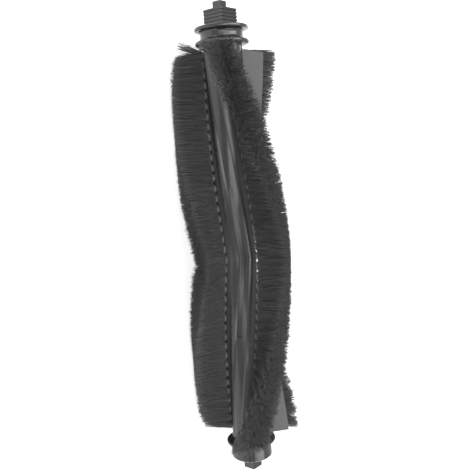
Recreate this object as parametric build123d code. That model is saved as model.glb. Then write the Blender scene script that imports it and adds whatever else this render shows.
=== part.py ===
from build123d import *
import os
from math import cos, radians, sin

# Main roller brush of a robot vacuum cleaner, in millimetres.
# It is modelled upright along Z, from the drive end to the idler end, and laid along X at the end.
# Z = 0 is the middle of the drive cap's outer flange. Clock angles run from local +X, which ends up
# pointing straight down, so that the brush rests on the middle of one row and both ends of the next.

# Driving dimensions of the core
LAND_RADIUS = 7.3
VALLEY_RADIUS = 6.9
LAND_LEAD = 34.0
LAND_TRAIL = 45.0
LAND_RAMP = 5.0

# Chevron: every row, land and blade turns by this angle from its point to each end of the rows
CHEVRON_TWIST = 73.0

# Bristle rows
ROW_NAMES = ("c", "b", "a")
TUFTS_BEFORE = 20
TUFTS_AFTER = 18
TUFT_PITCH = 3.85
TUFT_GAP = 0.15
ROW_INSET_AT_DRIVE = 2.8
ROW_INSET_AT_IDLER = 3.5
BRISTLE_RADIUS = 20.5
TUFT_TIP_WIDTH = 10.4
TUFT_SHOULDER = 0.9
TUFT_ROOT = 1.36
TUFT_HOLE = 2.0
TUFT_HOLE_SIDES = 8
TUFT_HOLE_DEPTH = 3.3
ANCHOR_WIDTH = 1.5
ANCHOR_HEIGHT = 1.1
ANCHOR_THICKNESS = 0.4

# Rubber blades
BLADE_ROWS = ("a", "c")
BLADE_RADIUS = 15.6
BLADE_THICKNESS = 1.1
BLADE_TIP_THICKNESS = 0.8
BLADE_OFFSET = 22.0
BLADE_SLOT_DEPTH = 1.6
BLADE_INSET_AT_DRIVE = 1.8
BLADE_INSET_AT_IDLER = 0.2
BLADE_RAKE = 1.3

# Groove in the open valley between rows a and b
GROOVE_WIDTH = 1.65
GROOVE_DEPTH = 0.6
GROOVE_BEFORE = 27.1
GROOVE_AFTER = 30.4

# Drive cap
FLANGE_RADIUS = 10.1
FLANGE_THICKNESS = 1.4
FLANGE_EDGE = 0.5
DRUM_RADIUS = 8.0
DRUM_LENGTH = 3.7
DRUM_FILLET = 1.3
DRIVE_SQUARE = 9.4
DRIVE_SQUARE_LENGTH = 6.3
DRIVE_EDGE_CHAMFER = 0.6
RIB_COUNT = 5
RIB_GAP = 0.55
RIB_DEPTH = 0.45
PILOT_SQUARE = 3.9
PILOT_LENGTH = 3.1
PILOT_CHAMFER = 0.3
SQUARE_CLOCK = 82.5
SPIGOT_FLATS = 9.0
SPIGOT_LENGTH = 4.6
SPIGOT_END_GAP = 0.3

# Idler cap and its bearing
DISC_RADIUS = 9.7
DISC_THICKNESS = 1.0
DISC_EDGE = 0.25
SKIRT_RADIUS = 8.0
SKIRT_LENGTH = 6.2
SKIRT_EDGE = 0.5
TONGUE_COUNT = 2
TONGUE_WIDTH = 1.1
TONGUE_CLOCK = 224.0
SLIT_WIDTH = 0.5
SLIT_DEPTH = 0.6
STUB_SQUARE = 5.0
STUB_LENGTH = 5.4
STUB_CHAMFER = 0.5
PIN_RADIUS = 1.5
PIN_IN_CORE = 12.0
BUSH_RADIUS = 2.6
BUSH_LENGTH = 5.0
CAP_FLOOR_GAP = 0.4
WASHER_RADIUS = 4.5
WASHER_THICKNESS = 0.6

# Clearances
FIXED_CLEARANCE = 0.03
RUNNING_CLEARANCE = 0.05
THRUST_CLEARANCE = 0.2

# Worked out from the above
INNER_FLANGE_Z = FLANGE_THICKNESS + DRUM_LENGTH
CORE_START = INNER_FLANGE_Z + FLANGE_THICKNESS / 2
CHEVRON_AT = CORE_START + ROW_INSET_AT_DRIVE + TUFTS_BEFORE * TUFT_PITCH
CORE_END = CHEVRON_AT + TUFTS_AFTER * TUFT_PITCH + ROW_INSET_AT_IDLER
BLADE_START = CORE_START + BLADE_INSET_AT_DRIVE
BLADE_END = CORE_END - BLADE_INSET_AT_IDLER
ROW_STEP = 360 / len(ROW_NAMES)
FIRST_ROW = (ROW_STEP - CHEVRON_TWIST) / 2
ROW_CLOCK = {name: FIRST_ROW + index * ROW_STEP for index, name in enumerate(ROW_NAMES)}
HOLE_FLOOR = LAND_RADIUS - TUFT_HOLE_DEPTH
SLOT_FLOOR = LAND_RADIUS - BLADE_SLOT_DEPTH
DISC_Z = CORE_END + WASHER_THICKNESS + THRUST_CLEARANCE
SKIRT_Z = DISC_Z + DISC_THICKNESS
STUB_Z = SKIRT_Z + SKIRT_LENGTH
PIN_END = DISC_Z + BUSH_LENGTH


def twist_at(z):
    """Clock angle that a chevron line gains between the chevron's point and height z."""
    tufts = (z - CHEVRON_AT) / TUFT_PITCH
    return CHEVRON_TWIST * max(tufts / TUFTS_AFTER, -tufts / TUFTS_BEFORE)


def chevron(section, start, end):
    """Both twisted arms of a section drawn at the chevron's point, joined there."""
    point = (0, 0, CHEVRON_AT)
    arms = [
        Solid.extrude_linear_with_rotation(
            section, point, (0, 0, z - CHEVRON_AT), twist_at(z) * (1 if z > CHEVRON_AT else -1)
        )
        for z in (start, end)
    ]
    return arms[0] + arms[1]


def polar(radius, clock):
    """Point at a radius and a clock angle."""
    return radius * cos(radians(clock)), radius * sin(radians(clock))


def land(first, last):
    """Slice of the core up to a raised land, with a ramp down to the valley on each side."""
    foot_first = polar(VALLEY_RADIUS, first - LAND_RAMP)
    foot_last = polar(VALLEY_RADIUS, last + LAND_RAMP)
    crest = ThreePointArc(
        polar(LAND_RADIUS, first), polar(LAND_RADIUS, (first + last) / 2), polar(LAND_RADIUS, last)
    )
    sides = Polyline(polar(LAND_RADIUS, last), foot_last, (0, 0), foot_first, polar(LAND_RADIUS, first))
    return make_face(crest + sides)


def radial_bar(inner, outer, inner_width, outer_width, clock):
    """Flat bar section standing on a radius, from inner to outer, with its own widths there."""
    outline = Polyline(
        (inner, -inner_width / 2),
        (outer, -outer_width / 2),
        (outer, outer_width / 2),
        (inner, inner_width / 2),
        close=True,
    )
    return Rot(0, 0, clock) * make_face(outline)


def at_chevron(sketch):
    """A flat section lifted to the chevron's plane, as one face."""
    return (Pos(0, 0, CHEVRON_AT) * sketch).faces()[0]


def tuft_places(row):
    """Location of each tuft of a row, its local +X pointing outwards."""
    for index in range(-TUFTS_BEFORE, TUFTS_AFTER + 1):
        z = CHEVRON_AT + index * TUFT_PITCH
        yield Pos(0, 0, z) * Rot(0, 0, ROW_CLOCK[row] + twist_at(z))


def along_x(sketch, start, length):
    """Extrude a sketch drawn across the tuft's own axis, outwards along +X."""
    return extrude(Plane(origin=(start, 0, 0), x_dir=(0, 1, 0), z_dir=(1, 0, 0)) * sketch, amount=length)


def blade_clock(row):
    return ROW_CLOCK[row] + BLADE_OFFSET


def core_section():
    """Round core with three raised lands, and the slots that hold the blades."""
    section = Circle(VALLEY_RADIUS)
    for row in ROW_NAMES:
        clock = ROW_CLOCK[row]
        section += land(clock - LAND_TRAIL, clock + LAND_LEAD)
    slot_width = BLADE_THICKNESS + 2 * FIXED_CLEARANCE
    for row in BLADE_ROWS:
        section -= radial_bar(SLOT_FLOOR, LAND_RADIUS + 1, slot_width, slot_width, blade_clock(row))
    return section


def make_tuft_hole():
    """Blind hole for one tuft, with few sides because it repeats."""
    hole = RegularPolygon(TUFT_HOLE / 2, TUFT_HOLE_SIDES)
    return along_x(hole, HOLE_FLOOR, TUFT_HOLE_DEPTH + 1)


def make_roller_core():
    core = chevron(at_chevron(core_section()), CORE_START, CORE_END)
    groove_clock = ROW_CLOCK["a"] - ROW_STEP / 2
    groove_floor = VALLEY_RADIUS - GROOVE_DEPTH
    groove = radial_bar(groove_floor, LAND_RADIUS + 1, GROOVE_WIDTH, GROOVE_WIDTH, groove_clock)
    core -= chevron(at_chevron(groove), CHEVRON_AT - GROOVE_BEFORE, CHEVRON_AT + GROOVE_AFTER)
    hole = make_tuft_hole()
    core -= [place * hole for row in ROW_NAMES for place in tuft_places(row)]
    spigot = RegularPolygon(SPIGOT_FLATS / 2, 6, major_radius=False)
    core += extrude(Pos(0, 0, CORE_START) * spigot, amount=-SPIGOT_LENGTH)
    pin_bore = Circle(PIN_RADIUS + FIXED_CLEARANCE)
    return core - extrude(Pos(0, 0, CORE_END) * pin_bore, amount=-PIN_IN_CORE)


def make_bristle_row(row):
    """Flared tufts, each with a square root in its hole and a tip that drops at its shoulders."""
    tip_length = TUFT_PITCH - TUFT_GAP
    flare_start = LAND_RADIUS
    root_end = HOLE_FLOOR + ANCHOR_HEIGHT
    shoulder = BRISTLE_RADIUS - TUFT_SHOULDER
    flare = radial_bar(flare_start, shoulder, TUFT_ROOT, TUFT_TIP_WIDTH, 0)
    crown = radial_bar(shoulder, BRISTLE_RADIUS, TUFT_TIP_WIDTH, TUFT_TIP_WIDTH / 2, 0)
    face = radial_bar(flare_start, BRISTLE_RADIUS, TUFT_ROOT, tip_length, 0)
    across = extrude(flare + crown, amount=tip_length, both=True)
    lengthwise = Rot(90, 0, 0) * extrude(face, amount=TUFT_TIP_WIDTH, both=True)
    root = along_x(Rectangle(TUFT_ROOT, TUFT_ROOT), root_end, flare_start - root_end)
    tuft = (across & lengthwise) + root
    return Compound([place * tuft.solids()[0] for place in tuft_places(row)])


def make_tuft_anchors(row):
    """Flat wire anchor at the bottom of each tuft hole."""
    anchor = along_x(Rectangle(ANCHOR_WIDTH, ANCHOR_THICKNESS), HOLE_FLOOR, ANCHOR_HEIGHT)
    return Compound([place * anchor.solids()[0] for place in tuft_places(row)])


def make_blade(row):
    """Rubber blade, thinner at its edge and raked at the drive end, seated in the core's slot."""
    clock = blade_clock(row)
    root = radial_bar(SLOT_FLOOR, LAND_RADIUS, BLADE_THICKNESS, BLADE_THICKNESS, clock)
    vane = radial_bar(LAND_RADIUS, BLADE_RADIUS, BLADE_THICKNESS, BLADE_TIP_THICKNESS, clock)
    blade = chevron(at_chevron(root + vane), BLADE_START, BLADE_END)
    rake_radius = 2 * BLADE_RADIUS - LAND_RADIUS
    rake = Polyline(
        (LAND_RADIUS, 0, BLADE_START),
        (rake_radius, 0, BLADE_START + 2 * BLADE_RAKE),
        (rake_radius, 0, BLADE_START),
        close=True,
    )
    return blade - revolve(make_face(rake), Axis.Z)


def square_post(side, start, length):
    """Square post with a corner towards the brush's open valley."""
    return extrude(Pos(0, 0, start) * Rot(0, 0, SQUARE_CLOCK) * Rectangle(side, side), amount=length)


def make_drive_cap():
    half_flange = FLANGE_THICKNESS / 2
    flange = Cylinder(FLANGE_RADIUS, FLANGE_THICKNESS)
    flange = fillet(flange.edges().filter_by(GeomType.CIRCLE), FLANGE_EDGE)
    drum = Pos(0, 0, INNER_FLANGE_Z / 2) * Cylinder(DRUM_RADIUS, DRUM_LENGTH)
    cap = flange + Pos(0, 0, INNER_FLANGE_Z) * flange + drum
    rings = cap.edges().filter_by(GeomType.CIRCLE)
    cap = fillet(rings.filter_by(lambda ring: abs(ring.radius - DRUM_RADIUS) < 1e-6), DRUM_FILLET)
    post_start = -half_flange - DRIVE_SQUARE_LENGTH
    post = square_post(DRIVE_SQUARE, post_start, DRIVE_SQUARE_LENGTH)
    post = chamfer(post.edges().filter_by(Axis.Z), DRIVE_EDGE_CHAMFER)
    rib_pitch = DRIVE_SQUARE_LENGTH / RIB_COUNT
    ring = square_post(2 * DRIVE_SQUARE, 0, RIB_GAP) - square_post(DRIVE_SQUARE - 2 * RIB_DEPTH, 0, RIB_GAP)
    post -= [Pos(0, 0, -half_flange - RIB_GAP - index * rib_pitch) * ring for index in range(RIB_COUNT)]
    pilot = square_post(PILOT_SQUARE, post_start - PILOT_LENGTH, PILOT_LENGTH)
    pilot = chamfer(pilot.edges().filter_by(Axis.Z) + pilot.faces().sort_by(Axis.Z)[0].edges(), PILOT_CHAMFER)
    cap += post + pilot
    socket = RegularPolygon(SPIGOT_FLATS / 2 + FIXED_CLEARANCE, 6, major_radius=False)
    return cap - extrude(Pos(0, 0, CORE_START) * socket, amount=-SPIGOT_LENGTH - SPIGOT_END_GAP)


def make_idler_cap():
    disc = Pos(0, 0, DISC_Z + DISC_THICKNESS / 2) * Cylinder(DISC_RADIUS, DISC_THICKNESS)
    disc = chamfer(disc.edges(), DISC_EDGE)
    skirt = Pos(0, 0, SKIRT_Z + SKIRT_LENGTH / 2) * Cylinder(SKIRT_RADIUS, SKIRT_LENGTH)
    skirt = chamfer(skirt.edges().sort_by(Axis.Z)[-1], SKIRT_EDGE)
    stub = square_post(STUB_SQUARE, STUB_Z, STUB_LENGTH)
    stub = chamfer(stub.faces().sort_by(Axis.Z)[-1].edges(), STUB_CHAMFER)
    cap = disc + skirt + stub
    slit_place = (TONGUE_WIDTH + SLIT_WIDTH) / 2
    slit = Pos(SKIRT_RADIUS, 0, SKIRT_Z + SKIRT_LENGTH) * Box(2 * SLIT_DEPTH, SLIT_WIDTH, 2 * SKIRT_LENGTH)
    for tongue in range(TONGUE_COUNT):
        clock = TONGUE_CLOCK + tongue * 360 / TONGUE_COUNT
        cap -= [Rot(0, 0, clock) * Pos(0, side * slit_place, 0) * slit for side in (-1, 1)]
    bush_seat = Circle(BUSH_RADIUS + FIXED_CLEARANCE)
    return cap - extrude(Pos(0, 0, DISC_Z) * bush_seat, amount=BUSH_LENGTH + CAP_FLOOR_GAP)


def make_idler_bush():
    ring = Circle(BUSH_RADIUS) - Circle(PIN_RADIUS + RUNNING_CLEARANCE)
    return extrude(Pos(0, 0, DISC_Z) * ring, amount=BUSH_LENGTH)


def make_axle_pin():
    pin_start = CORE_END - PIN_IN_CORE
    return extrude(Pos(0, 0, pin_start) * Circle(PIN_RADIUS), amount=PIN_END - pin_start)


def make_thrust_washer():
    ring = Circle(WASHER_RADIUS) - Circle(PIN_RADIUS + FIXED_CLEARANCE)
    return extrude(Pos(0, 0, CORE_END) * ring, amount=WASHER_THICKNESS)


def main():
    pieces = {
        "roller_core": make_roller_core(),
        "drive_cap": make_drive_cap(),
        "idler_cap": make_idler_cap(),
        "idler_bush": make_idler_bush(),
        "axle_pin": make_axle_pin(),
        "thrust_washer": make_thrust_washer(),
    }
    for row in ROW_NAMES:
        pieces[f"bristle_row_{row}"] = make_bristle_row(row)
        pieces[f"tuft_anchors_{row}"] = make_tuft_anchors(row)
    for row in BLADE_ROWS:
        pieces[f"blade_{row}"] = make_blade(row)

    os.makedirs("parts", exist_ok=True)
    lay_down = Rot(0, 90, 0)
    for name, piece in pieces.items():
        export_step(lay_down * piece, f"parts/{name}.step")


main()
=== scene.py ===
"""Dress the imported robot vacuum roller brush: filaments, finishes, studio and camera."""
import itertools
import logging
import math
import random
from dataclasses import dataclass, field
from enum import Enum
from typing import Any

import bpy
from mathutils import Matrix, Vector

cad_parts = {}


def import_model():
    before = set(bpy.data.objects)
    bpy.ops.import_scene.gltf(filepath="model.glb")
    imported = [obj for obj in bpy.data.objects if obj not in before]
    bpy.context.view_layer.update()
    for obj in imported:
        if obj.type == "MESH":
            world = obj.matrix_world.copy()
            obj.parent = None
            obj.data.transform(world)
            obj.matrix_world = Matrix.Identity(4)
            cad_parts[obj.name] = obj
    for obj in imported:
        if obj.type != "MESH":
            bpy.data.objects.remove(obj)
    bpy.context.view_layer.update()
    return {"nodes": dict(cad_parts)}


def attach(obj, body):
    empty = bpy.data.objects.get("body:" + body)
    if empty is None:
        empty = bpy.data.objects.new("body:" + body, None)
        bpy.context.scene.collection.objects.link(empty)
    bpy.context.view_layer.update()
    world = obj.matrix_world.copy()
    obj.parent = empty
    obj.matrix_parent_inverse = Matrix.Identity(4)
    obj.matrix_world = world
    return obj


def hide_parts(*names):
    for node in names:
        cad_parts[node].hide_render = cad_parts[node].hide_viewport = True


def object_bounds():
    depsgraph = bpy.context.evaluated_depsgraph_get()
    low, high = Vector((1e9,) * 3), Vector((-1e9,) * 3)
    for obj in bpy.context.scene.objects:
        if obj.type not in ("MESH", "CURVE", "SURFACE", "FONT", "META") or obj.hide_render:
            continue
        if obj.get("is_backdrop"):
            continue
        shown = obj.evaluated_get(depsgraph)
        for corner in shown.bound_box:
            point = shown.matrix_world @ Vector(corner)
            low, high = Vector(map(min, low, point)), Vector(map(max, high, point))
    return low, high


LOG = logging.getLogger("roller_brush")
MM = 0.001
AXIS = (1.0, 0.0, 0.0)
WHITE = (1.0, 1.0, 1.0, 1.0)
PLASTIC_IOR = 1.53


class Row(Enum):
    """Bristle rows, in the order that the core carries them."""

    C = "c"
    B = "b"
    A = "a"


class Leg(Enum):
    """The two legs of a chevron row, which meet at its point."""

    DRIVE = "drive"
    IDLER = "idler"


def linear(hex_colour: str) -> tuple[float, float, float, float]:
    """Turn an sRGB hex colour into linear RGBA.

    Args:
        hex_colour: Six hex digits after a hash.

    Returns:
        Linear red, green and blue, with an alpha of 1.
    """
    channels = [int(hex_colour[i:i + 2], 16) / 255 for i in (1, 3, 5)]
    low = [c / 12.92 if c <= 0.04045 else ((c + 0.055) / 1.055) ** 2.4 for c in channels]
    return (low[0], low[1], low[2], 1.0)


def add_node(tree: bpy.types.NodeTree, kind: str, settings: dict[str, Any], inputs: dict[Any, Any]) -> Any:
    """Add one node with its settings, and link or set its inputs.

    Args:
        tree: Tree that takes the node.
        kind: Blender's name of the node type.
        settings: Properties of the node.
        inputs: Input name or number to a socket or a plain value.

    Returns:
        The new node.
    """
    node = tree.nodes.new(kind)
    for name, value in settings.items():
        setattr(node, name, value)
    for key, value in inputs.items():
        if isinstance(value, bpy.types.NodeSocket):
            tree.links.new(value, node.inputs[key])
        else:
            node.inputs[key].default_value = value
    return node


def new_material(name: str) -> tuple[bpy.types.Material, bpy.types.NodeTree]:
    """Start an empty node material.

    Args:
        name: Name of the finish.

    Returns:
        The material and its cleared tree.
    """
    material = bpy.data.materials.new(name)
    material.use_nodes = True
    material.node_tree.nodes.clear()
    return material, material.node_tree


@dataclass(frozen=True)
class Chevron:
    """Path that every bristle row follows round the core, in millimetres and degrees."""

    at_mm: float = 85.6
    twist_deg: float = 73.0
    pitch_mm: float = 3.85
    before: int = 20
    after: int = 18

    @property
    def row_step(self) -> float:
        """Clock angle between two rows."""
        return 360 / len(Row)

    @property
    def first_clock(self) -> float:
        """Clock angle of the first row at the chevron's point, with the brush lying at rest."""
        return (self.row_step - self.twist_deg) / 2

    def indices(self, leg: Leg) -> range:
        """Tuft numbers of a leg, counted from the chevron's point."""
        return range(-self.before, 0) if leg is Leg.DRIVE else range(self.after + 1)

    def clock(self, row: Row, along_mm: float) -> float:
        """Clock angle of a row at a distance along the axis.

        Args:
            row: The bristle row.
            along_mm: Distance from the drive flange.

        Returns:
            Angle in degrees, from straight down.
        """
        start = self.first_clock + list(Row).index(row) * self.row_step
        tufts = (along_mm - self.at_mm) / self.pitch_mm
        return start + self.twist_deg * max(tufts / self.after, -tufts / self.before)

    def outward(self, row: Row, along_mm: float) -> Vector:
        """Unit vector out of the core at a distance along a row."""
        angle = math.radians(self.clock(row, along_mm))
        return Vector((0.0, math.sin(angle), -math.cos(angle)))


@dataclass(frozen=True)
class PaintedRowFootLight:
    """Paler band on the core along the foot of each row: painted light that lifts the shade beside the
    tufts.
    """

    path: Chevron
    colour: str
    inner_deg: float = 18.0
    outer_deg: float = 34.0

    def share(self, tree: bpy.types.NodeTree, place: Any) -> Any:
        """Share of dust, from the angle round the core to the nearest row.

        Args:
            tree: Node tree of the core's material.
            place: Socket with Object coordinates.

        Returns:
            A socket that is 1 beside a row and 0 out on the bare core.
        """
        along, across, height = add_node(tree, "ShaderNodeSeparateXYZ", {}, {0: place}).outputs
        down = add_node(tree, "ShaderNodeMath", {"operation": "MULTIPLY"}, {0: height, 1: -1.0})
        turn = add_node(tree, "ShaderNodeMath", {"operation": "ARCTAN2"}, {0: across, 1: down.outputs[0]})
        clock = add_node(tree, "ShaderNodeMath", {"operation": "DEGREES"}, {0: turn.outputs[0]})
        legs = []
        for tufts in (self.path.after, -self.path.before):
            length = tufts * self.path.pitch_mm
            legs.append(add_node(tree, "ShaderNodeMath", {"operation": "MULTIPLY_ADD"}, {
                0: along, 1: 1 / (length * MM), 2: -self.path.at_mm / length}).outputs[0])
        lead = add_node(tree, "ShaderNodeMath", {"operation": "MAXIMUM"}, {0: legs[0], 1: legs[1]})
        twisted = add_node(tree, "ShaderNodeMath", {"operation": "MULTIPLY_ADD"}, {
            0: lead.outputs[0], 1: -self.path.twist_deg, 2: clock.outputs[0]})
        turned = add_node(tree, "ShaderNodeMath", {"operation": "SUBTRACT"}, {
            0: twisted.outputs[0], 1: self.path.first_clock})
        away = add_node(tree, "ShaderNodeMath", {"operation": "PINGPONG"}, {
            0: turned.outputs[0], 1: self.path.row_step / 2})
        band = add_node(tree, "ShaderNodeMapRange", {"interpolation_type": "SMOOTHSTEP"}, {
            "Value": away.outputs[0], "From Min": self.inner_deg, "From Max": self.outer_deg,
            "To Min": 1.0, "To Max": 0.0})
        return band.outputs["Result"]


@dataclass(frozen=True)
class MouldedAbs:
    """Black ABS straight from the mould: an even satin skin with faint flow mottling."""

    name: str
    colour: str
    pale_colour: str
    roughness: float
    grain_mm: float = 0.35
    grain_depth_mm: float = 0.02
    mottle_mm: float = 9.0
    gloss_spread: float = 0.06
    foot: PaintedRowFootLight | None = None

    def make(self) -> bpy.types.Material:
        """Build the material.

        Returns:
            The finished material.
        """
        material, tree = new_material(self.name)
        place = add_node(tree, "ShaderNodeTexCoord", {}, {}).outputs["Object"]
        mottle = add_node(tree, "ShaderNodeTexNoise", {}, {
            "Vector": place, "Scale": 1 / (self.mottle_mm * MM), "Detail": 4.0})
        colour = add_node(tree, "ShaderNodeMix", {"data_type": "RGBA"}, {
            "Factor": mottle.outputs["Fac"], 6: linear(self.colour), 7: linear(self.pale_colour)})
        # the paler band beside the rows is painted light that lifts the shade at their feet
        if self.foot is not None:
            colour = add_node(tree, "ShaderNodeMix", {"data_type": "RGBA"}, {
                "Factor": self.foot.share(tree, place), 6: colour.outputs[2], 7: linear(self.foot.colour)})
        grain = add_node(tree, "ShaderNodeTexNoise", {}, {
            "Vector": place, "Scale": 1 / (self.grain_mm * MM), "Detail": 2.0})
        rough = add_node(tree, "ShaderNodeMapRange", {}, {
            "Value": mottle.outputs["Fac"], "From Min": 0.3, "From Max": 0.7,
            "To Min": self.roughness - self.gloss_spread, "To Max": self.roughness + self.gloss_spread})
        bump = add_node(tree, "ShaderNodeBump", {}, {
            "Height": grain.outputs["Fac"], "Strength": 0.25, "Distance": self.grain_depth_mm * MM})
        shader = add_node(tree, "ShaderNodeBsdfPrincipled", {}, {
            "Base Color": colour.outputs[2], "Roughness": rough.outputs["Result"], "IOR": PLASTIC_IOR,
            "Normal": bump.outputs["Normal"]})
        add_node(tree, "ShaderNodeOutputMaterial", {}, {"Surface": shader.outputs["BSDF"]})
        return material


@dataclass(frozen=True)
class NylonFilament:
    """Black nylon monofilament: painted shade deep in the pile, paler cut tips, painted light on the row
    ends and a painted highlight at the fold.
    """

    name: str
    root_colour: str
    end_lit_root_colour: str
    tip_colour: str
    end_lit_tip_colour: str
    stray_colour: str
    fold_highlight_colour: str
    roughness: float = 0.62
    tip_from: float = 0.76
    stray_from: float = 0.6
    stray_most: float = 0.8
    fold_from: float = 0.03
    fold_to: float = 0.1

    def make(self) -> bpy.types.Material:
        """Build the material from the filament attributes.

        Returns:
            The finished material.
        """
        material, tree = new_material(self.name)
        along = add_node(tree, "ShaderNodeAttribute", {"attribute_name": "along"}, {}).outputs["Fac"]
        shade = add_node(tree, "ShaderNodeAttribute", {"attribute_name": "shade"}, {}).outputs["Fac"]
        # the body stays darker inside the pile, painted shade, and the last quarter towards the cut tips is
        # paler, partly their own tone
        ends = add_node(tree, "ShaderNodeMapRange", {}, {
            "Value": along, "From Min": self.tip_from, "From Max": 1.0})
        # paler colours towards the row ends: painted light on the ends
        painted_end_light = add_node(tree, "ShaderNodeAttribute", {"attribute_name": "painted_end_light"}, {}).outputs["Fac"]
        root = add_node(tree, "ShaderNodeMix", {"data_type": "RGBA"}, {
            "Factor": painted_end_light, 6: linear(self.root_colour), 7: linear(self.end_lit_root_colour)})
        tip = add_node(tree, "ShaderNodeMix", {"data_type": "RGBA"}, {
            "Factor": painted_end_light, 6: linear(self.tip_colour), 7: linear(self.end_lit_tip_colour)})
        body = add_node(tree, "ShaderNodeMix", {"data_type": "RGBA"}, {
            "Factor": ends.outputs["Result"], 6: root.outputs[2], 7: tip.outputs[2]})
        pale = add_node(tree, "ShaderNodeMapRange", {}, {
            "Value": shade, "From Min": self.stray_from, "From Max": 1.0,
            "To Min": 0.0, "To Max": self.stray_most})
        colour = add_node(tree, "ShaderNodeMix", {"data_type": "RGBA"}, {
            "Factor": pale.outputs["Result"], 6: body.outputs[2], 7: linear(self.stray_colour)})
        # the pale filament bases at the fold are a painted highlight, the glint at each tuft's foot
        fold = add_node(tree, "ShaderNodeMapRange", {}, {
            "Value": along, "From Min": self.fold_from, "From Max": self.fold_to,
            "To Min": 1.0, "To Max": 0.0})
        fold_highlighted = add_node(tree, "ShaderNodeMix", {"data_type": "RGBA"}, {
            "Factor": fold.outputs["Result"], 6: colour.outputs[2], 7: linear(self.fold_highlight_colour)})
        shader = add_node(tree, "ShaderNodeBsdfPrincipled", {}, {
            "Base Color": fold_highlighted.outputs[2], "Roughness": self.roughness, "IOR": PLASTIC_IOR})
        add_node(tree, "ShaderNodeOutputMaterial", {}, {"Surface": shader.outputs["BSDF"]})
        return material


@dataclass(frozen=True)
class MouldedRubber:
    """Grey thermoplastic rubber: dead matt, with fine drag lines from the mould and specks of dust."""

    name: str
    colour: str
    dust_colour: str
    roughness: float = 0.72
    line_mm: float = 0.9
    line_depth_mm: float = 0.04
    speck_mm: float = 0.6
    dust_most: float = 0.35

    def make(self) -> bpy.types.Material:
        """Build the material.

        Returns:
            The finished material.
        """
        material, tree = new_material(self.name)
        place = add_node(tree, "ShaderNodeTexCoord", {}, {}).outputs["Object"]
        stretched = add_node(tree, "ShaderNodeMapping", {}, {"Vector": place, "Scale": (1.0, 0.2, 0.2)})
        lines = add_node(tree, "ShaderNodeTexNoise", {}, {
            "Vector": stretched.outputs["Vector"], "Scale": 1 / (self.line_mm * MM), "Detail": 3.0})
        specks = add_node(tree, "ShaderNodeTexNoise", {}, {
            "Vector": place, "Scale": 1 / (self.speck_mm * MM), "Detail": 3.0})
        dust = add_node(tree, "ShaderNodeMapRange", {}, {
            "Value": specks.outputs["Fac"], "From Min": 0.45, "From Max": 0.75,
            "To Min": 0.0, "To Max": self.dust_most})
        colour = add_node(tree, "ShaderNodeMix", {"data_type": "RGBA"}, {
            "Factor": dust.outputs["Result"], 6: linear(self.colour), 7: linear(self.dust_colour)})
        bump = add_node(tree, "ShaderNodeBump", {}, {
            "Height": lines.outputs["Fac"], "Strength": 0.3, "Distance": self.line_depth_mm * MM})
        shader = add_node(tree, "ShaderNodeBsdfPrincipled", {}, {
            "Base Color": colour.outputs[2], "Roughness": self.roughness, "IOR": 1.5,
            "Normal": bump.outputs["Normal"]})
        add_node(tree, "ShaderNodeOutputMaterial", {}, {"Surface": shader.outputs["BSDF"]})
        return material


@dataclass(frozen=True)
class WorkedMetal:
    """Drawn or ground metal: fine lines along the piece that spread the highlight."""

    name: str
    colour: str
    roughness: float
    line_mm: float = 0.2
    gloss_spread: float = 0.1

    def make(self) -> bpy.types.Material:
        """Build the material.

        Returns:
            The finished material.
        """
        material, tree = new_material(self.name)
        place = add_node(tree, "ShaderNodeTexCoord", {}, {}).outputs["Object"]
        stretched = add_node(tree, "ShaderNodeMapping", {}, {"Vector": place, "Scale": (1.0, 0.05, 0.05)})
        lines = add_node(tree, "ShaderNodeTexNoise", {}, {
            "Vector": stretched.outputs["Vector"], "Scale": 1 / (self.line_mm * MM), "Detail": 2.0})
        rough = add_node(tree, "ShaderNodeMapRange", {}, {
            "Value": lines.outputs["Fac"],
            "To Min": self.roughness - self.gloss_spread, "To Max": self.roughness + self.gloss_spread})
        shader = add_node(tree, "ShaderNodeBsdfPrincipled", {}, {
            "Base Color": linear(self.colour), "Metallic": 1.0, "Roughness": rough.outputs["Result"]})
        add_node(tree, "ShaderNodeOutputMaterial", {}, {"Surface": shader.outputs["BSDF"]})
        return material


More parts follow.
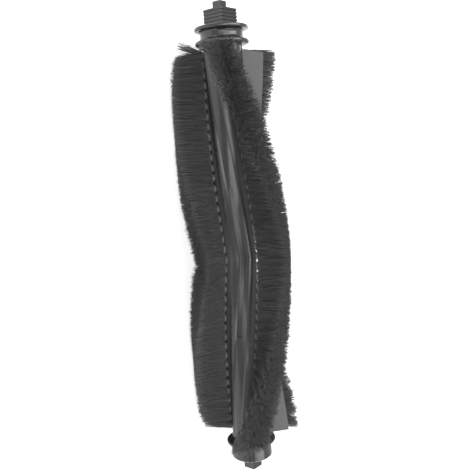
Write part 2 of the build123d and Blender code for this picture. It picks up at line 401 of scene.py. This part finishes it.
@dataclass
class FilamentTree:
    """Geometry Nodes tree that grows the filaments of one row from its tuft roots."""

    material: bpy.types.Material
    root_half_width_mm: float = 1.0
    root_half_length_mm: float = 0.95
    knee: float = 0.13
    knee_fan: float = 0.5
    reach_mm: float = 13.5
    cut_scatter: float = 0.07
    bend_mm: float = 0.4
    filament_mm: float = 0.14
    points: int = 3
    sides: int = 3
    seed: int = 11
    cut_seed: int = 5
    shade_seed: int = 9
    curl_seed: int = 21
    inputs: dict[str, str] = field(default_factory=dict)

    def add_input(self, tree: bpy.types.NodeTree, name: str, kind: str) -> None:
        """Add a named input to the tree and keep its identifier."""
        self.inputs[name] = tree.interface.new_socket(name, in_out="INPUT", socket_type=kind).identifier

    def make(self) -> bpy.types.NodeTree:
        """Build the tree.

        Returns:
            The node tree, ready for a modifier.
        """
        tree = bpy.data.node_groups.new("Filaments", "GeometryNodeTree")
        tree.interface.new_socket("Geometry", in_out="INPUT", socket_type="NodeSocketGeometry")
        tree.interface.new_socket("Geometry", in_out="OUTPUT", socket_type="NodeSocketGeometry")
        for name in self.values(0):
            self.add_input(tree, name, "NodeSocketInt" if name == "Seed" else "NodeSocketFloat")
        given = add_node(tree, "NodeGroupInput", {}, {}).outputs
        count = add_node(tree, "GeometryNodeInputNamedAttribute", {"data_type": "INT"}, {"Name": "count"})
        roots = add_node(tree, "GeometryNodeDuplicateElements", {"domain": "POINT"}, {
            "Geometry": given["Geometry"], "Amount": count.outputs[0]})
        outward = add_node(tree, "GeometryNodeInputNamedAttribute", {"data_type": "FLOAT_VECTOR"}, {
            "Name": "outward"}).outputs[0]
        lean = add_node(tree, "GeometryNodeInputNamedAttribute", {"data_type": "FLOAT_VECTOR"}, {
            "Name": "lean"}).outputs[0]
        sideways = add_node(tree, "ShaderNodeVectorMath", {"operation": "CROSS_PRODUCT"}, {
            0: outward, 1: AXIS}).outputs[0]
        width = add_node(tree, "GeometryNodeInputNamedAttribute", {"data_type": "FLOAT"}, {"Name": "width"})
        spread = add_node(tree, "GeometryNodeInputNamedAttribute", {"data_type": "FLOAT"}, {
            "Name": "spread"})
        at_root = self.scatter(tree, given["Seed"], 1)
        at_tip = self.scatter(tree, given["Seed"], 3)
        root_side = self.along(tree, sideways, at_root[0], given["Root Half Width"])
        root_axial = self.along(tree, AXIS, at_root[1], given["Root Half Length"])
        tip_side = self.along(tree, sideways, at_tip[0], width.outputs[0])
        tip_axial = self.along(tree, AXIS, at_tip[1], spread.outputs[0])
        root = add_node(tree, "ShaderNodeVectorMath", {"operation": "ADD"}, {0: root_side, 1: root_axial})
        tip = add_node(tree, "ShaderNodeVectorMath", {"operation": "ADD"}, {0: tip_side, 1: tip_axial})
        fan = add_node(tree, "ShaderNodeVectorMath", {"operation": "SUBTRACT"}, {
            0: tip.outputs[0], 1: root.outputs[0]})
        leaning = add_node(tree, "ShaderNodeVectorMath", {"operation": "ADD"}, {0: fan.outputs[0], 1: lean})
        cut = add_node(tree, "FunctionNodeRandomValue", {"data_type": "FLOAT"}, {
            2: 0.0, 3: 1.0, "Seed": self.cut_seed})
        short = add_node(tree, "ShaderNodeMath", {"operation": "MULTIPLY"}, {
            0: cut.outputs[1], 1: given["Cut Scatter"]})
        share = add_node(tree, "ShaderNodeMath", {"operation": "SUBTRACT"}, {0: 1.0, 1: short.outputs[0]})
        height = add_node(tree, "GeometryNodeInputNamedAttribute", {"data_type": "FLOAT"}, {
            "Name": "height"})
        trimmed = add_node(tree, "ShaderNodeMath", {"operation": "MULTIPLY"}, {
            0: share.outputs[0], 1: height.outputs[0]})
        reach = add_node(tree, "ShaderNodeMath", {"operation": "MULTIPLY"}, {
            0: trimmed.outputs[0], 1: given["Reach"]})
        straight = add_node(tree, "ShaderNodeVectorMath", {"operation": "SCALE"}, {
            0: outward, "Scale": reach.outputs[0]})
        run = add_node(tree, "ShaderNodeVectorMath", {"operation": "ADD"}, {
            0: straight.outputs[0], 1: leaning.outputs[0]}).outputs[0]
        length = add_node(tree, "ShaderNodeVectorMath", {"operation": "LENGTH"}, {0: run}).outputs["Value"]
        turn = add_node(tree, "FunctionNodeAlignRotationToVector", {"axis": "Z"}, {"Vector": run})
        early = add_node(tree, "ShaderNodeVectorMath", {"operation": "SUBTRACT"}, {
            0: tip_axial, 1: root_axial})
        opened = add_node(tree, "ShaderNodeVectorMath", {"operation": "SCALE"}, {
            0: early.outputs[0], "Scale": given["Knee Fan"]})
        drop = add_node(tree, "ShaderNodeMath", {"operation": "SUBTRACT"}, {0: given["Knee"], 1: 0.5})
        lowered = add_node(tree, "ShaderNodeVectorMath", {"operation": "SCALE"}, {
            0: run, "Scale": drop.outputs[0]})
        knee = add_node(tree, "ShaderNodeVectorMath", {"operation": "ADD"}, {
            0: opened.outputs[0], 1: lowered.outputs[0]})
        vector_store = {"domain": "POINT", "data_type": "FLOAT_VECTOR"}
        kept = add_node(tree, "GeometryNodeStoreNamedAttribute", vector_store, {
            "Geometry": roots.outputs["Geometry"], "Name": "knee", "Value": knee.outputs[0]})
        placed = add_node(tree, "GeometryNodeSetPosition", {}, {
            "Geometry": kept.outputs["Geometry"], "Offset": root.outputs[0]})
        line = add_node(tree, "GeometryNodeCurvePrimitiveLine", {}, {"End": (0.0, 0.0, 1.0)})
        steps = add_node(tree, "GeometryNodeResampleCurve", {}, {
            "Curve": line.outputs["Curve"], "Count": self.points})
        hairs = add_node(tree, "GeometryNodeInstanceOnPoints", {}, {
            "Points": placed.outputs["Geometry"], "Instance": steps.outputs["Curve"],
            "Rotation": turn.outputs["Rotation"], "Scale": length})
        shade = add_node(tree, "FunctionNodeRandomValue", {"data_type": "FLOAT"}, {
            2: 0.0, 3: 1.0, "Seed": self.shade_seed})
        hair_store = {"domain": "INSTANCE", "data_type": "FLOAT"}
        shaded = add_node(tree, "GeometryNodeStoreNamedAttribute", hair_store, {
            "Geometry": hairs.outputs["Instances"], "Name": "shade", "Value": shade.outputs[1]})
        curves = add_node(tree, "GeometryNodeRealizeInstances", {}, {"Geometry": shaded.outputs["Geometry"]})
        self.finish(tree, curves.outputs["Geometry"], given)
        return tree

    def scatter(self, tree: bpy.types.NodeTree, seed: Any, offset: int) -> list[Any]:
        """Two random fields from -1 to 1, even sideways and crowding to the middle along the row.

        Args:
            tree: Tree that takes the nodes.
            seed: Socket of the tree's seed.
            offset: Added to the seed.

        Returns:
            The sideways and the axial field.
        """
        own = add_node(tree, "ShaderNodeMath", {"operation": "ADD"}, {0: seed, 1: float(offset)})
        shares = add_node(tree, "FunctionNodeRandomValue", {"data_type": "FLOAT_VECTOR"}, {
            0: (-1.0, -1.0, -1.0), 1: (1.0, 1.0, 1.0), "Seed": own.outputs[0]})
        parts = add_node(tree, "ShaderNodeSeparateXYZ", {}, {0: shares.outputs[0]})
        pair = add_node(tree, "ShaderNodeMath", {"operation": "ADD"}, {
            0: parts.outputs["Y"], 1: parts.outputs["Z"]})
        middling = add_node(tree, "ShaderNodeMath", {"operation": "MULTIPLY"}, {0: pair.outputs[0], 1: 0.5})
        return [parts.outputs["X"], middling.outputs[0]]

    def along(self, tree: bpy.types.NodeTree, direction: Any, share: Any, size: Any) -> Any:
        """Scale a direction by a random share of a size.

        Args:
            tree: Tree that takes the nodes.
            direction: Socket or vector to follow.
            share: Socket of the random share.
            size: Socket of the size.

        Returns:
            Socket of the scaled vector.
        """
        amount = add_node(tree, "ShaderNodeMath", {"operation": "MULTIPLY"}, {0: share, 1: size})
        scaled = add_node(tree, "ShaderNodeVectorMath", {"operation": "SCALE"}, {
            0: direction, "Scale": amount.outputs[0]})
        return scaled.outputs[0]

    def finish(self, tree: bpy.types.NodeTree, curves: Any, given: Any) -> None:
        """Bend the hair lines, give them thickness and their finish.

        Args:
            tree: Tree that takes the nodes.
            curves: Socket of the hair lines.
            given: Outputs of the tree's input node.
        """
        factor = add_node(tree, "GeometryNodeSplineParameter", {}, {}).outputs["Factor"]
        square = add_node(tree, "ShaderNodeMath", {"operation": "POWER"}, {0: factor, 1: 2.0})
        curl = add_node(tree, "FunctionNodeRandomValue", {"data_type": "FLOAT_VECTOR"}, {
            0: (-1.0, -1.0, -1.0), 1: (1.0, 1.0, 1.0), "Seed": self.curl_seed})
        amount = add_node(tree, "ShaderNodeMath", {"operation": "MULTIPLY"}, {
            0: square.outputs[0], 1: given["Bend"]})
        bend = add_node(tree, "ShaderNodeVectorMath", {"operation": "SCALE"}, {
            0: curl.outputs[0], "Scale": amount.outputs[0]})
        rise = add_node(tree, "ShaderNodeMath", {"operation": "SUBTRACT"}, {0: factor, 1: square.outputs[0]})
        middle = add_node(tree, "ShaderNodeMath", {"operation": "MULTIPLY"}, {0: rise.outputs[0], 1: 4.0})
        knee = add_node(tree, "GeometryNodeInputNamedAttribute", {"data_type": "FLOAT_VECTOR"}, {
            "Name": "knee"})
        kneed = add_node(tree, "ShaderNodeVectorMath", {"operation": "SCALE"}, {
            0: knee.outputs[0], "Scale": middle.outputs[0]})
        shift = add_node(tree, "ShaderNodeVectorMath", {"operation": "ADD"}, {
            0: kneed.outputs[0], 1: bend.outputs[0]})
        bent = add_node(tree, "GeometryNodeSetPosition", {}, {
            "Geometry": curves, "Offset": shift.outputs[0]})
        point_store = {"domain": "POINT", "data_type": "FLOAT"}
        marked = add_node(tree, "GeometryNodeStoreNamedAttribute", point_store, {
            "Geometry": bent.outputs["Geometry"], "Name": "along", "Value": factor})
        ring = add_node(tree, "GeometryNodeCurvePrimitiveCircle", {}, {
            "Resolution": self.sides, "Radius": given["Radius"]})
        tubes = add_node(tree, "GeometryNodeCurveToMesh", {}, {
            "Curve": marked.outputs["Geometry"], "Profile Curve": ring.outputs["Curve"], "Fill Caps": True})
        smooth = add_node(tree, "GeometryNodeSetShadeSmooth", {}, {"Geometry": tubes.outputs["Mesh"]})
        dressed = add_node(tree, "GeometryNodeSetMaterial", {}, {
            "Geometry": smooth.outputs["Geometry"], "Material": self.material})
        whole = add_node(tree, "GeometryNodeRealizeInstances", {}, {"Geometry": dressed.outputs["Geometry"]})
        add_node(tree, "NodeGroupOutput", {}, {"Geometry": whole.outputs["Geometry"]})

    def values(self, seed: int) -> dict[str, float]:
        """Named input values, in metres, for one row.

        Args:
            seed: Seed of the row.

        Returns:
            Input name to value.
        """
        return {
            "Root Half Width": self.root_half_width_mm * MM,
            "Root Half Length": self.root_half_length_mm * MM,
            "Knee": self.knee,
            "Knee Fan": self.knee_fan,
            "Reach": self.reach_mm * MM,
            "Cut Scatter": self.cut_scatter,
            "Bend": self.bend_mm * MM,
            "Radius": self.filament_mm * MM / 2,
            "Seed": self.seed + seed,
        }


@dataclass(frozen=True)
class RowEnd:
    """How the tips stand at one end of a row: lean off the end, trail behind the row and half width.

    The powers say how early on the way from the chevron's point the trail and the width come in, and the
    last share mixes in the paler end colours at the very end, painted light that brightens the row ends.
    """

    lean_mm: float
    trail_mm: float = 2.0
    half_width_mm: float = 5.8
    trail_power: float = 2.0
    width_power: float = 0.7
    painted_end_light: float = 0.6


@dataclass(frozen=True)
class Tuft:
    """One bundle of filaments: place, way out, lean, half width and length at the tips, and shares."""

    place: Vector
    outward: Vector
    lean: Vector
    width: float
    spread: float
    painted_end_light: float
    height: float
    count: int


@dataclass
class BristleRows:
    """The three chevron rows, grown as real filaments in place of the CAD tufts."""

    chevron: Chevron
    filaments: FilamentTree
    drive_ends: dict[Row, RowEnd]
    idler_ends: dict[Row, RowEnd]
    per_tuft: int = 585
    root_radius_mm: float = 7.0
    side_lean_mm: float = 0.15
    end_lean_mm: float = 0.1
    point_width_mm: float = 2.8
    tip_half_length_mm: float = 5.0
    end_narrowing: float = 0.45
    end_reach_tufts: float = 1.1
    end_drop: float = 0.1
    stray_row: Row = Row.A
    stray_count: int = 90
    stray_height: float = 0.74
    stray_lean_mm: float = 3.7
    slot: str = "bristle_nylon"
    body: str = "rotor"

    def tufts(self, row: Row, leg: Leg) -> list[Tuft]:
        """Every tuft of a row's leg, and the loose filaments at the drive end of one row.

        Args:
            row: The bristle row.
            leg: The leg of the row.

        Returns:
            The tufts from the drive end on.
        """
        draw = random.Random(f"tufts {row.value} {leg.value}")
        path = self.chevron
        made = []
        for index in path.indices(leg):
            along_mm = path.at_mm + index * path.pitch_mm
            outward = path.outward(row, along_mm)
            place = Vector((along_mm, 0.0, 0.0)) + outward * self.root_radius_mm
            near_drive = math.exp(-(index + path.before) / self.end_reach_tufts)
            near_idler = math.exp(-(path.after - index) / self.end_reach_tufts)
            axial = self.idler_ends[row].lean_mm * near_idler - self.drive_ends[row].lean_mm * near_drive
            end = self.drive_ends[row] if leg is Leg.DRIVE else self.idler_ends[row]
            from_point = max(index / path.after, -index / path.before)
            side = draw.gauss(0.0, self.side_lean_mm) - end.trail_mm * from_point ** end.trail_power
            lean = outward.cross(Vector(AXIS)) * side
            lean.x += axial + draw.gauss(0.0, self.end_lean_mm)
            widening = (end.half_width_mm - self.point_width_mm) * from_point ** end.width_power
            width = self.point_width_mm + widening
            spread = self.tip_half_length_mm * (1.0 - self.end_narrowing * (near_drive + near_idler))
            height = 1.0 - self.end_drop * (near_drive + near_idler)
            # the share of paler end colours grows from the chevron's point: painted light on the row ends
            made.append(Tuft(
                place * MM, outward, lean * MM, width * MM, spread * MM, end.painted_end_light * from_point, height,
                self.per_tuft))
        if row is self.stray_row and leg is Leg.DRIVE:
            loose = Vector((-self.stray_lean_mm, 0.0, 0.0)) * MM
            first = made[0]
            made.append(Tuft(
                first.place, first.outward, loose, first.width, first.spread, first.painted_end_light, self.stray_height,
                self.stray_count))
        return made

    def roots(self, row: Row, leg: Leg) -> bpy.types.Object:
        """One point for each tuft, carrying its attributes.

        Args:
            row: The bristle row.
            leg: The leg of the row.

        Returns:
            An object with one vertex for each tuft.
        """
        tufts = self.tufts(row, leg)
        mesh = bpy.data.meshes.new(f"tuft_roots_{row.value}_{leg.value}")
        mesh.from_pydata([tuft.place for tuft in tufts], [], [])
        for name in ("outward", "lean"):
            layer = mesh.attributes.new(name, "FLOAT_VECTOR", "POINT")
            layer.data.foreach_set("vector", [part for tuft in tufts for part in getattr(tuft, name)])
        for name in ("width", "spread", "painted_end_light", "height", "count"):
            layer = mesh.attributes.new(name, "INT" if name == "count" else "FLOAT", "POINT")
            layer.data.foreach_set("value", [getattr(tuft, name) for tuft in tufts])
        return bpy.data.objects.new(mesh.name, mesh)

    def build(self) -> list[bpy.types.Object]:
        """Grow every row and let it stand for its CAD tufts.

        Returns:
            One filament object for each leg of each row.
        """
        tree = self.filaments.make()
        pieces = []
        for number, (row, leg) in enumerate(itertools.product(Row, Leg)):
            source = self.roots(row, leg)
            bpy.context.scene.collection.objects.link(source)
            modifier = source.modifiers.new("Filaments", "NODES")
            modifier.node_group = tree
            for name, value in self.filaments.values(number).items():
                modifier[self.filaments.inputs[name]] = value
            graph = bpy.context.evaluated_depsgraph_get()
            mesh = bpy.data.meshes.new_from_object(source.evaluated_get(graph))
            bpy.data.objects.remove(source)
            piece = bpy.data.objects.new(f"filaments_{row.value}_{leg.value}", mesh)
            bpy.context.scene.collection.objects.link(piece)
            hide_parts(f"bristle_row_{row.value}")
            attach(piece, self.body)
            pieces.append(piece)
        return pieces


@dataclass
class CadFinishes:
    """Finishes of the CAD nodes that stay as they are."""

    nodes: dict[str, bpy.types.Object]

    def dress(self, finishes: dict[str, list[str]], made: dict[str, bpy.types.Material]) -> None:
        """Give each node its finish.

        Args:
            finishes: Finish name to node names.
            made: Finish name to material.
        """
        for finish, names in finishes.items():
            for name in names:
                mesh = self.nodes[name].data
                mesh.materials.clear()
                mesh.materials.append(made[finish])
                LOG.info("%s has finish %s", name, finish)


@dataclass(frozen=True)
class LightPanel:
    """Soft light panel, placed from the aim point along the camera's right, up and back."""

    name: str
    offset_mm: tuple[float, float, float]
    width_mm: float
    height_mm: float
    radiance: float


@dataclass
class Studio:
    """White floor, soft lamps and the photograph's camera, in millimetres in the brush's frame."""

    eye_mm: tuple[float, float, float] = (45.29, -167.84, 188.98)
    aim_mm: tuple[float, float, float] = (77.16, -0.64, 0.0)
    up: tuple[float, float, float] = (-0.9894, 0.1381, -0.0446)
    lens_mm: float = 50.55
    sensor_mm: float = 36.0
    floor_half_mm: float = 3000.0
    floor_grey: float = 0.8
    floor_glow: float = 0.7
    world_strength: float = 0.6
    panels: tuple[LightPanel, ...] = (
        LightPanel("key", (44.0, -2.0, 418.0), 300.0, 150.0, 3.4),
        LightPanel("top", (297.0, 168.0, 297.0), 640.0, 95.0, 7.5),
        LightPanel("foot", (66.0, -163.0, 412.0), 230.0, 95.0, 1.9),
        LightPanel("skirt", (300.0, -300.0, 300.0), 500.0, 90.0, 4.4),
        LightPanel("high_left", (-300.0, 450.0, 250.0), 400.0, 300.0, 1.7),
        LightPanel("low_left", (-300.0, -620.0, 250.0), 400.0, 300.0, 3.2),
    )

    def axes(self) -> Matrix:
        """Camera axes, right, up and back, as matrix columns."""
        back = (Vector(self.eye_mm) - Vector(self.aim_mm)).normalized()
        right = Vector(self.up).cross(back).normalized()
        return Matrix((right, back.cross(right), back)).transposed()

    def add_camera(self) -> None:
        """Place the camera where the photograph was taken."""
        data = bpy.data.cameras.new("photo_camera")
        data.lens = self.lens_mm
        data.sensor_width = self.sensor_mm
        data.clip_start = 0.01
        camera = bpy.data.objects.new("photo_camera", data)
        camera.matrix_world = Matrix.Translation(Vector(self.eye_mm) * MM) @ self.axes().to_4x4()
        bpy.context.scene.collection.objects.link(camera)
        bpy.context.scene.camera = camera

    def add_panel(self, panel: LightPanel) -> None:
        """Hang a light panel so that it faces the aim point, its height along the camera's up.

        Args:
            panel: Size, place and brightness of the panel.
        """
        data = bpy.data.lights.new(panel.name, "AREA")
        data.shape = "RECTANGLE"
        data.size = panel.width_mm * MM
        data.size_y = panel.height_mm * MM
        data.energy = panel.radiance * math.pi * data.size * data.size_y
        axes = self.axes()
        back = (axes @ Vector(panel.offset_mm)).normalized()
        right = (axes @ Vector((0.0, 1.0, 0.0))).cross(back).normalized()
        lamp = bpy.data.objects.new(panel.name, data)
        turn = Matrix((right, back.cross(right), back)).transposed().to_4x4()
        place = Vector(self.aim_mm) + axes @ Vector(panel.offset_mm)
        lamp.matrix_world = Matrix.Translation(place * MM) @ turn
        bpy.context.scene.collection.objects.link(lamp)

    def seen_white(self, tree: bpy.types.NodeTree) -> Any:
        """Tell the rays that should meet plain white from those that carry light.

        Args:
            tree: Node tree of the floor or the world.

        Returns:
            A socket that is 1 for camera, mirrored and transmitted rays.
        """
        rays = add_node(tree, "ShaderNodeLightPath", {}, {}).outputs
        mirrored = add_node(tree, "ShaderNodeMath", {"operation": "MAXIMUM"}, {
            0: rays["Is Glossy Ray"], 1: rays["Is Transmission Ray"]})
        seen = add_node(tree, "ShaderNodeMath", {"operation": "MAXIMUM"}, {
            0: rays["Is Camera Ray"], 1: mirrored.outputs[0]})
        return seen.outputs[0]

    def add_world(self) -> None:
        """Surround the brush with even light that shows as white."""
        world = bpy.data.worlds.new("studio")
        world.use_nodes = True
        tree = world.node_tree
        tree.nodes.clear()
        strength = add_node(tree, "ShaderNodeMapRange", {}, {
            "Value": self.seen_white(tree), "To Min": self.world_strength, "To Max": 1.0})
        sky = add_node(tree, "ShaderNodeBackground", {}, {
            "Color": WHITE, "Strength": strength.outputs["Result"]})
        add_node(tree, "ShaderNodeOutputWorld", {}, {"Surface": sky.outputs[0]})
        bpy.context.scene.world = world

    def add_floor(self, height: float) -> None:
        """Lay a white floor under the brush.

        Args:
            height: Height of the floor, in metres.
        """
        half = self.floor_half_mm * MM
        signs = ((-1, -1), (1, -1), (1, 1), (-1, 1))
        corners = [(half * across, half * along, height) for across, along in signs]
        mesh = bpy.data.meshes.new("floor")
        mesh.from_pydata(corners, [], [(0, 1, 2, 3)])
        floor = bpy.data.objects.new("floor", mesh)
        bpy.context.scene.collection.objects.link(floor)
        material, tree = new_material("white_sweep")
        lit = add_node(tree, "ShaderNodeBsdfDiffuse", {}, {"Color": (*[self.floor_grey] * 3, 1.0)})
        glow = add_node(tree, "ShaderNodeEmission", {}, {
            "Color": (*[self.floor_glow] * 3, 1.0), "Strength": self.seen_white(tree)})
        both = add_node(tree, "ShaderNodeAddShader", {}, {0: lit.outputs[0], 1: glow.outputs[0]})
        add_node(tree, "ShaderNodeOutputMaterial", {}, {"Surface": both.outputs[0]})
        mesh.materials.append(material)
        floor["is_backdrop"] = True

    def build(self, floor_height: float) -> None:
        """Set up the floor, the lamps, the world and the camera.

        Args:
            floor_height: Height of the floor, in metres.
        """
        self.add_floor(floor_height)
        self.add_camera()
        for panel in self.panels:
            self.add_panel(panel)
        self.add_world()
        bpy.context.scene.view_settings.view_transform = "Standard"


def main() -> None:
    """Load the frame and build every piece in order."""
    logging.basicConfig(level=logging.INFO, format="%(name)s: %(message)s")
    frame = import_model()
    # the core's paler band beside the rows is painted light
    core = MouldedAbs("satin_moulded_abs", "#181918", "#1D1E1D", 0.24, foot=PaintedRowFootLight(Chevron(), "#424342"))
    caps = MouldedAbs("cap_moulded_abs", "#252625", "#2B2C2B", 0.2)
    acetal = MouldedAbs("turned_acetal", "#CFCBC0", "#DAD7CE", 0.45)
    made = {
        "core": core.make(),
        "caps": caps.make(),
        "acetal": acetal.make(),
        "steel": WorkedMetal("ground_steel", "#B9BABA", 0.3).make(),
        "brass": WorkedMetal("cut_brass_wire", "#C9A95A", 0.35).make(),
        "rubber": MouldedRubber("grey_moulded_rubber", "#595A5A", "#646565").make(),
    }
    finishes = {
        "core": ["roller_core"],
        "caps": ["drive_cap", "idler_cap"],
        "acetal": ["idler_bush", "thrust_washer"],
        "steel": ["axle_pin"],
        "brass": [f"tuft_anchors_{row.value}" for row in Row],
        "rubber": ["blade_a", "blade_c"],
    }
    CadFinishes(frame["nodes"]).dress(finishes, made)
    nylon = NylonFilament(
        "black_nylon_filament", "#404140", "#525352", "#4C4D4C", "#7A7B7A", "#525352", "#787978")
    drive_ends = {Row.A: RowEnd(-1.5), Row.B: RowEnd(0.3, 3.7, 6.4, 1.0, 0.3, 1.0), Row.C: RowEnd(-1.8)}
    idler_ends = {Row.A: RowEnd(-1.5), Row.B: RowEnd(0.5, 2.6, 7.4, 2.0, 1.5, 1.0), Row.C: RowEnd(1.8)}
    rows = BristleRows(Chevron(), FilamentTree(nylon.make()), drive_ends, idler_ends)
    for piece in rows.build():
        LOG.info("%s has %d faces", piece.name, len(piece.data.polygons))
    Studio().build(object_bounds()[0][2])


if __name__ == "__main__":
    main()
